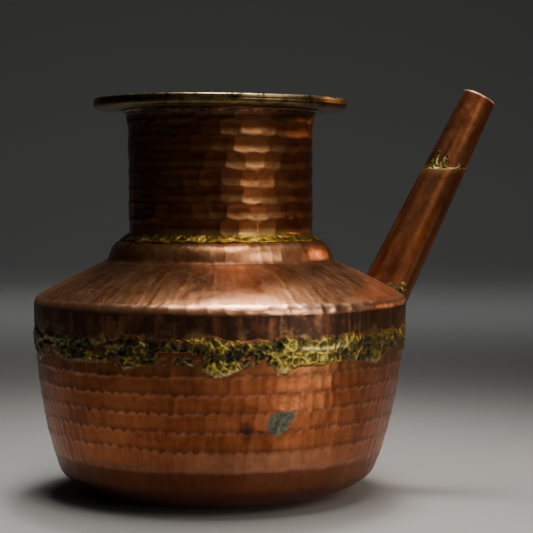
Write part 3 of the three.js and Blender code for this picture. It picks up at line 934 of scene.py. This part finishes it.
footLow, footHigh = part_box("neck_foot_braze")
footOut = footHigh.y
bead(
    "neck_foot_brass",
    "neck_foot_braze",
    [
        (neckRadius - 0.0004, collarTop - 0.0012),
        (footOut - 0.0018, footLow.z + 0.0003),
        (footOut - 0.001, footLow.z + 0.0007),
        (footOut - 0.0022, footLow.z + 0.0014),
        (neckRadius + 0.0014, footHigh.z - 0.0017),
        (neckRadius + 0.0002, footHigh.z - 0.0007),
        (neckRadius - 0.0006, footHigh.z - 0.0012),
    ],
    0.00035, 90, 301, footBrass, 640,
    ((-138, 0.02, 0.0012), (-151, 0.012, 0.0016), (-63, 0.018, 0.0008), (30, 0.02, 0.001),
     (110, 0.03, 0.0012)),
)
underLow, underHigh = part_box("rim_braze")
bead(
    "rim_brass_fillet",
    "rim_braze",
    [
        (neckRadius - 0.0003, underLow.z + 0.0008),
        (neckRadius + 0.0012, underLow.z + 0.001),
        (neckRadius + 0.0017, underHigh.z - 0.0009),
        (underHigh.y, underHigh.z - 0.0003),
        (underHigh.y - 0.0006, underHigh.z + 0.0004),
        (neckRadius - 0.0003, underHigh.z + 0.0004),
    ],
    0.00018, 34, 307, filletBrass, 420,
)
print("neck brass made")


# Spout

spoutStyle = {
    "tilt": 27.0,
    "inset": 0.0055,  # from the body's edge in to where its axis meets the shoulder
    "rootRadius": 0.0127,
    "tipRadius": 0.0092,  # before the upper tube's step in
    "step": 0.0003,
    "sheet": 0.0011,
    "spigot": 0.012,
    "columns": 240,
}

tilt = math.radians(spoutStyle["tilt"])
spoutWay = np.array([math.sin(tilt), 0.0, math.cos(tilt)])
spoutSide = np.array([0.0, 1.0, 0.0])
spoutBack = np.array([-math.cos(tilt), 0.0, math.sin(tilt)])  # towards the neck
rootRadius, spoutStep, spoutSheet = spoutStyle["rootRadius"], spoutStyle["step"], spoutStyle["sheet"]
rootX = bodyRadius - spoutStyle["inset"]
onSlope = (body.along > edgeAlong) & (body.along < creaseAlong)
slopeLine = -body.points[onSlope, 0], body.points[onSlope, 1]
spoutRoot = np.array([rootX, 0.0, np.interp(-rootX, *slopeLine)])
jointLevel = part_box("spout_joint_braze")[0].z - 0.0003
tipOuter = spoutStyle["tipRadius"] - spoutStep
tipUp = (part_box("spout_upper_tube")[1].z - spoutRoot[2] - tipOuter * spoutWay[0]) / spoutWay[2]
spoutTaper = (rootRadius - spoutStyle["tipRadius"]) / tipUp


def spoutRadius(up):
    return rootRadius - spoutTaper * up


# A point of the spout: distance up its axis, distance off it, and heading round it as a share of a
# turn, 0 towards the neck
def onSpout(up, off, turn):
    angle = 2 * math.pi * turn
    aside = off * np.cos(angle)
    across = off * np.sin(angle)
    return spoutRoot + up[..., None] * spoutWay + aside[..., None] * spoutBack + across[..., None] * spoutSide


# How far up its axis the level joint lies, at a distance off it
def jointUp(off, turn):
    lift = off * np.cos(2 * math.pi * turn) * spoutWay[0]
    return (jointLevel - spoutRoot[2] - lift) / spoutWay[2]


# How far up its axis a line along the spout leaves the body
def meetsBody(off, turn, clear):
    low = np.full(turn.shape, -0.03)
    high = np.full(turn.shape, 0.03)
    use = (body.along > lipAlong) & (body.along < creaseAlong)
    for _ in range(30):
        middle = (low + high) / 2
        p = onSpout(middle, off + 0 * turn, turn)
        radius = np.hypot(p[..., 0], p[..., 1])
        top = np.interp(-radius, -body.points[use, 0], body.points[use, 1])
        under = (p[..., 2] < top + clear) & (radius < bodyRadius + clear)
        low = np.where(under, middle, low)
        high = np.where(under, high, middle)
    return (low + high) / 2


# Rows between the given levels, with so many rows in each stretch
def ladder(levels, counts):
    runs = [
        low + (high - low) * np.linspace(0, 1, count, endpoint=False)[:, None]
        for low, high, count in zip(levels, levels[1:], counts)
    ]
    return np.concatenate([*runs, levels[-1]])


def tube(name, node, up, offAt, innerUp, innerOffAt, seed, low):
    columns = spoutStyle["columns"]
    turn = turnsOver(up, columns)
    share = (up - up.min()) / np.ptp(up)
    dents = 0.00012 * swell(turn, 0.5 + 0 * turn, 9, 2, seed) + 0.0001 * swells(turn, share, 10, 9, seed + 3)
    off = offAt(up, turn) + dents
    outer = onSpout(up, off, turn)
    innerTurn = turn[: len(innerUp)]
    innerOff = innerOffAt(innerUp, innerTurn)
    inner = onSpout(innerUp, innerOff, innerTurn)
    lip = onSpout((up[-1:] + innerUp[:1]) / 2 + 0.0003, (off[-1:] + innerOff[:1]) / 2, turn[:1])
    points = np.concatenate([outer, lip, inner])
    rest = np.zeros((len(inner) + 1, columns))
    stack = lambda values, after=0.0: np.concatenate([values + 0 * share, rest + after])
    bright = 0.5 + 0.5 * swells(turn, share * 0.3, 26, 3, seed + 7)
    # Painted highlight: the lip round the mouth is painted pale.
    mouth = ease(up, tipUp - 0.0012, tipUp - 0.0002)
    crust = (1 - ease(up - low, 0, 0.006)) * (0.5 + 0.5 * swells(turn, share, 20, 12, seed + 11))
    masks = {
        "wearAndSheen": np.concatenate([0.14 * bright + 0.7 * mouth, rest[:1] + mouth.max(), rest[1:]]),
        "tint": stack(0.3 + 0.5 * bright),
        "sootAndShade": stack(np.clip(0.25 * swell(turn, share * 0.2, 22, 2, seed + 9) + 0.14 + 0.5 * crust, 0, 1)),
        "gold": stack(0.06 * bright + 0.16 * (1 - ease(np.abs(up - jointUp(off, turn)), 0, 0.004))),
        "green": stack(0.0),
        "inside": np.concatenate([0 * share, rest[:1], rest[1:] + 0.8]),
    }
    return placed(shaped(name, points, masks), node, spoutCopper)


ring = np.arange(spoutStyle["columns"])[None] / spoutStyle["columns"]


def lowerOff(up, turn):
    return spoutRadius(up) + 0.00012 * np.exp(-(((up - jointUp(rootRadius, turn) + 0.003) / 0.004) ** 2))


def upperOff(up, turn):
    return spoutRadius(up) - spoutStep - 0.0011 * (1 - ease(up - jointUp(spoutRadius(up), turn), 0.0, 0.0008))


rootUp = meetsBody(rootRadius, ring, 0.0)
lowerJoint = jointUp(spoutRadius(0.07), ring)
innerJoint = jointUp(spoutRadius(0.07) - spoutSheet, ring)
tube(
    "spout_lower", "spout_lower_tube",
    ladder([rootUp, rootUp + 0.012, lowerJoint - 0.003, lowerJoint], [20, 60, 10]), lowerOff,
    ladder([innerJoint, rootUp], [12]), lambda up, turn: spoutRadius(up) - spoutSheet,
    401, rootUp,
)
spigotFoot = lowerJoint.min() - spoutStyle["spigot"] + 0 * ring
tube(
    "spout_upper", "spout_upper_tube",
    ladder([spigotFoot, lowerJoint, lowerJoint + 0.001, tipUp + 0 * ring], [8, 6, 70]), upperOff,
    ladder([tipUp + 0 * ring, lowerJoint, spigotFoot], [12, 4]),
    lambda up, turn: upperOff(up, turn) - spoutSheet,
    411, rootUp - 1,
)
print("spout tubes made")


# Brass on the spout. It is a sleeve whose thickness runs below the copper where there is none.
def sleeve(name, node, up, offAt, sink):
    columns = up.shape[1]
    turn = turnsOver(up, columns)
    base, depth, masks = offAt(up, turn)
    outer = onSpout(up, base + depth, turn)
    innerUp = up[::-1][::6]
    inner = onSpout(innerUp, spoutRadius(innerUp) - sink, turn[: len(innerUp)])
    rest = np.zeros((len(innerUp), columns))
    masks = {key: np.concatenate([value + 0 * up, rest]) for key, value in masks.items()}
    return placed(shaped(name, np.concatenate([outer, inner]), masks), node, seamBrass)


# heading round the spout, width and height of the tongues that ran up from the joint
tongues = ((0.91, 0.03, 0.0105), (0.83, 0.026, 0.0085), (0.7, 0.018, 0.003), (0.94, 0.02, 0.003),
           (0.08, 0.02, 0.006), (0.2, 0.02, 0.004), (0.36, 0.03, 0.005))


def jointSkin(up, turn):
    above = up - jointUp(spoutRadius(up), turn)
    reach = 0.0012 + 0.0005 * swells(turn, 0.4 + 0 * turn, 30, 2, 503, 3)
    for heading, width, tall in tongues:
        reach = reach + tall * bell(turn, heading, width)
    lumps = swells(turn, 20 * up, 26, 30, 507, 3)
    inside = np.minimum(reach - above, above + 0.0004) - 0.0012 * np.clip(lumps, 0, 1)
    faint = 0.2 + 0.8 * bell(turn, 0.83, 0.12)
    depth = 0.0004 * ease(inside, -0.0002, 0.001) + 0.0002 * ease(inside, 0, 0.0008) * lumps
    depth = depth * faint - 0.00012
    # Painted highlight: the line along the joint is raised and painted cream where it shows, on the side
    # towards the lamps.
    shown = bell(turn, 0.9, 0.05) + 0.8 * bell(turn, 0.74, 0.03) + 0.3 * bell(turn, 0.82, 0.14)
    line = np.exp(-(((above - 0.0003) / 0.0005) ** 2)) * np.clip(shown, 0, 1)
    masks = {
        "height": np.clip(0.7 + 0.7 * lumps + 0.5 * line, 0, 1.4),
        "edge": 0.9 * (1 - ease(inside, 0.0, 0.0012)) * (1 - line),
        "ridge": np.clip(0.9 * line + 0.4 * lumps, 0, 1),
    }
    return spoutRadius(up) - spoutStep, depth + 0.0003 * line, masks


wide = np.arange(320)[None] / 320
jointFoot = jointUp(spoutRadius(0.07), wide)
jointRows = ladder([jointFoot - 0.0003, jointFoot + 0.0015, jointFoot + 0.014], [9, 34])
sleeve("spout_joint_brass", "spout_joint_braze", jointRows, jointSkin, 0.0013)


def rootSkin(up, turn):
    share = (up - up[:1]) / (up[-1:] - up[:1])
    lumps = swells(turn, share, 26, 8, 517, 3)
    ragged = 0.3 * swells(turn, 0.5 + 0 * turn, 14, 2, 519, 3)
    tall = 0.2 + 0.75 * bell(turn, 0.6, 0.12)
    inside = ease(tall + ragged - share, 0, 0.3)
    masks = {
        "height": np.clip(0.15 + 0.7 * lumps + 0.25 * bell(turn, 0.6, 0.12), 0, 1.3),
        "edge": 0.6 * (1 - ease(tall + ragged - share, 0, 0.4)),
        "ridge": np.clip(0.5 * lumps * bell(turn, 0.6, 0.1), 0, 1),
    }
    return spoutRadius(up), 0.0009 * inside * (0.8 + 0.4 * lumps) - 0.0003, masks


rootFoot = meetsBody(rootRadius + 0.0006, wide, -0.0006)
rootRows = ladder([rootFoot, meetsBody(rootRadius, wide, 0.0) + 0.0115], [50])
sleeve("spout_root_brass", "spout_root_braze", rootRows, rootSkin, 0.0008)


# A lengthwise bead of brass: a thin rounded strip laid along a line of points
def strip(name, node, centre, outward, sideways, halfWidth, rise, sink, seed):
    count = len(centre)
    ring = np.linspace(0, 2 * math.pi, 20, endpoint=False)[None]
    share = np.linspace(0, 1, count)[:, None]
    lumps = swells(ring / (2 * math.pi), share, 4, 40, seed, 3) + 0 * ring
    wide = halfWidth * (1 + 0.45 * swells(0 * share, share, 2, 30, seed + 3, 3))
    across = wide * np.cos(ring)
    over = np.where(np.sin(ring) > 0, rise, sink) * np.sin(ring) * (1 + 0.35 * lumps)
    points = centre[:, None] + across[..., None] * sideways + over[..., None] * outward[:, None]
    masks = {"height": np.clip(0.5 + 0.7 * lumps, 0, 1.3), "edge": 0 * lumps, "ridge": 0.4 * (lumps > 0.3)}
    return placed(shaped(name, points, masks, poles=True), node, seamBrass)


seamHeights = np.linspace(neckFoot + 0.001, rimUnder + 0.001, 160)
seamLine = np.stack([0 * seamHeights, neckRadius + 0 * seamHeights, seamHeights], 1)
strip(
    "neck_seam_brass", "neck_seam_braze", seamLine, np.tile([0.0, 1.0, 0.0], (160, 1)),
    np.array([1.0, 0.0, 0.0]), 0.0013, 0.00045, 0.0009, 601,
)


def spoutSeam(length, low, high, step, seed):
    up = np.linspace(low, high, 110)
    line = onSpout(up, spoutRadius(up) - step, 0.25 + 0 * up)
    name = "spout_" + length + "_seam_"
    strip(
        name + "brass", name + "braze", line,
        np.tile(spoutSide, (110, 1)), spoutBack, 0.0009, 0.00028, 0.0008, seed,
    )


far = np.full((1, 1), 0.25)
rootFar = float(meetsBody(rootRadius, far, 0.0)[0, 0])
jointFar = float(jointUp(0.0, far)[0, 0])
spoutSeam("lower", rootFar + 0.001, jointFar - 0.0004, 0.0, 611)
spoutSeam("upper", jointFar + 0.001, tipUp - 0.0006, spoutStep, 617)
print("spout brass made")


# The way from the body into the spout, cut through the shoulder
def cutInlet():
    drill = bpy.data.meshes.new("drill")
    radius = rootRadius - spoutSheet - 0.0016
    sides, halfLength = 48, 0.024
    off = np.full(sides, radius)
    turn = np.linspace(0, 2 * math.pi, sides, endpoint=False) / (2 * math.pi)
    rings = [onSpout(np.full(sides, end), off, turn) for end in (-halfLength, halfLength)]
    faces = [[i, (i + 1) % sides, sides + (i + 1) % sides, sides + i] for i in range(sides)]
    faces += [list(range(sides))[::-1], list(range(sides, 2 * sides))]
    drill.from_pydata(np.concatenate(rings).tolist(), [], faces)
    if insideOut(drill):
        drill.flip_normals()
    tool = bpy.data.objects.new("drill", drill)
    bpy.context.scene.collection.objects.link(tool)
    cut = shoulderPiece.modifiers.new("inlet", "BOOLEAN")
    cut.operation = "DIFFERENCE"
    cut.solver = "MANIFOLD"
    cut.object = tool
    evaluated = shoulderPiece.evaluated_get(bpy.context.evaluated_depsgraph_get())
    shape = bpy.data.meshes.new_from_object(evaluated)
    shoulderPiece.modifiers.clear()
    shoulderPiece.data = shape
    bpy.data.objects.remove(tool)


cutInlet()
print("inlet cut")


# Studio

studio = {
    "floorColor": (0.25, 0.246, 0.238),
    "flat": 2.6,
    "wall": 3.8,
    "wallHeight": 2.2,
    "world": 0.03,
}


def floorAndWall(look):
    quarter = np.linspace(0, math.pi / 2, 16)
    curve = look["wall"] - look["flat"]
    outline = [(0.01, 0.0), (look["flat"] * 0.5, 0.0)]
    outline += [(look["flat"] + curve * math.sin(a), curve * (1 - math.cos(a))) for a in quarter]
    outline += [(look["wall"], look["wallHeight"])]
    columns = 96
    turn = np.arange(columns) / columns
    points = np.stack([spun(r, z, turn) for r, z in outline])
    rows = len(outline)
    faces = []
    for i in range(rows - 1):
        for j in range(columns):
            here, beside = i * columns + j, i * columns + (j + 1) % columns
            faces.append([here, beside, beside + columns, here + columns])
    faces.append(list(range(columns))[::-1])
    mesh = bpy.data.meshes.new("floor")
    mesh.from_pydata(points.reshape(-1, 3).tolist(), [], faces)
    mesh.shade_smooth()
    floor = bpy.data.objects.new("floor", mesh)
    bpy.context.scene.collection.objects.link(floor)
    s = Surface("floor paint")
    s.finish(color=look["floorColor"], roughness=0.75)
    mesh.materials.append(s.material)


floorAndWall(studio)
world = bpy.data.worlds.new("studio")
bpy.context.scene.world = world
world.use_nodes = True
background = world.node_tree.nodes["Background"]
background.inputs["Color"].default_value = (1.0, 0.99, 0.97, 1.0)
background.inputs["Strength"].default_value = studio["world"]

# Headings are degrees to the right of the camera's line of sight, as seen from above
camera = {
    "azimuth": -12.0,
    "distance": 0.822,
    "height": 0.1546,
    "down": 2.69,
    "aside": 1.638,
    "lens": 108.07,
}

# What a lamp has unless it says otherwise
lampBasics = {"tone": (1.0, 0.97, 0.93), "spread": 50, "aim": (0.0, 0.11)}

lamps = {
    "over": {"heading": 90, "out": 0.02, "up": 1.2, "wide": 0.5, "tall": 0.5, "power": 0.85},
    "back": {"heading": 160, "out": 0.27, "up": 1.25, "wide": 0.3, "tall": 0.2, "power": 0.7, "spread": 40},
    "right": {"heading": 95, "out": 0.6, "up": 1.0, "wide": 0.5, "tall": 0.4, "power": 0.05,
              "tone": (1.0, 0.96, 0.9)},
    "front": {"heading": 25, "out": 0.4, "up": 1.15, "wide": 0.5, "tall": 0.4, "power": 0.7},
    "key": {"heading": 42, "out": 1.1, "up": 0.75, "wide": 0.7, "tall": 0.6, "power": 0.78,
            "tone": (1.0, 0.94, 0.86), "spread": 45, "aim": (0.0, 0.13)},
    "strip": {"heading": 116, "out": 0.9, "up": 0.35, "wide": 0.05, "tall": 0.7, "power": 0.085,
              "tone": (1.0, 0.5, 0.22), "spread": 13, "aim": (0.0, 0.15)},
    "low": {"heading": 47, "out": 0.7, "up": 0.05, "wide": 0.1, "tall": 0.1, "power": 0.04,
            "tone": (1.0, 0.93, 0.84), "spread": 22, "aim": (0.0, 0.02)},
    "pool": {"heading": 33, "out": 0.55, "up": 0.7, "wide": 0.25, "tall": 0.25, "power": 1.2,
             "tone": (1.0, 0.95, 0.88), "spread": 36, "aim": (0.43, 0.0)},
    "backdrop": {"heading": 0, "out": -1.2, "up": 2.0, "wide": 2.0, "tall": 1.0, "power": 5.0,
                 "tone": (0.96, 0.98, 1.0), "spread": 110, "aim": (-2.7, 0.0)},
    "behind": {"heading": 0, "out": -1.05, "up": 1.5, "wide": 1.6, "tall": 0.3, "power": 1.5,
               "tone": (0.96, 0.98, 1.0), "spread": 60, "aim": (-1.15, 0.0)},
}


def lampOf(name, look):
    angle = math.radians(camera["azimuth"] + look["heading"])
    spot = Vector((math.sin(angle) * look["out"], -math.cos(angle) * look["out"], look["up"]))
    light = bpy.data.lights.new(name, "AREA")
    light.shape = "RECTANGLE"
    light.size, light.size_y = look["wide"], look["tall"]
    light.energy = look["power"]
    light.color = look["tone"]
    light.spread = math.radians(look["spread"])
    lamp = bpy.data.objects.new(name, light)
    lamp.location = spot
    reach, level = look["aim"]
    aim = Vector((math.sin(angle) * reach, -math.cos(angle) * reach, level)) - spot
    lamp.rotation_euler = aim.to_track_quat("-Z", "Y").to_euler()
    bpy.context.scene.collection.objects.link(lamp)


for name, look in lamps.items():
    lampOf(name, {**lampBasics, **look})


def cameraOf(look):
    view = bpy.data.cameras.new("camera")
    view.lens = look["lens"]
    view.sensor_width = 36.0
    view.clip_start, view.clip_end = 0.02, 60.0
    eye = bpy.data.objects.new("camera", view)
    angle = math.radians(look["azimuth"])
    eye.location = (math.sin(angle) * look["distance"], -math.cos(angle) * look["distance"], look["height"])
    turn = math.radians(look["azimuth"] - look["aside"])
    eye.rotation_euler = (math.radians(90 - look["down"]), 0, turn)
    bpy.context.scene.collection.objects.link(eye)
    bpy.context.scene.camera = eye


cameraOf(camera)
print("studio made")
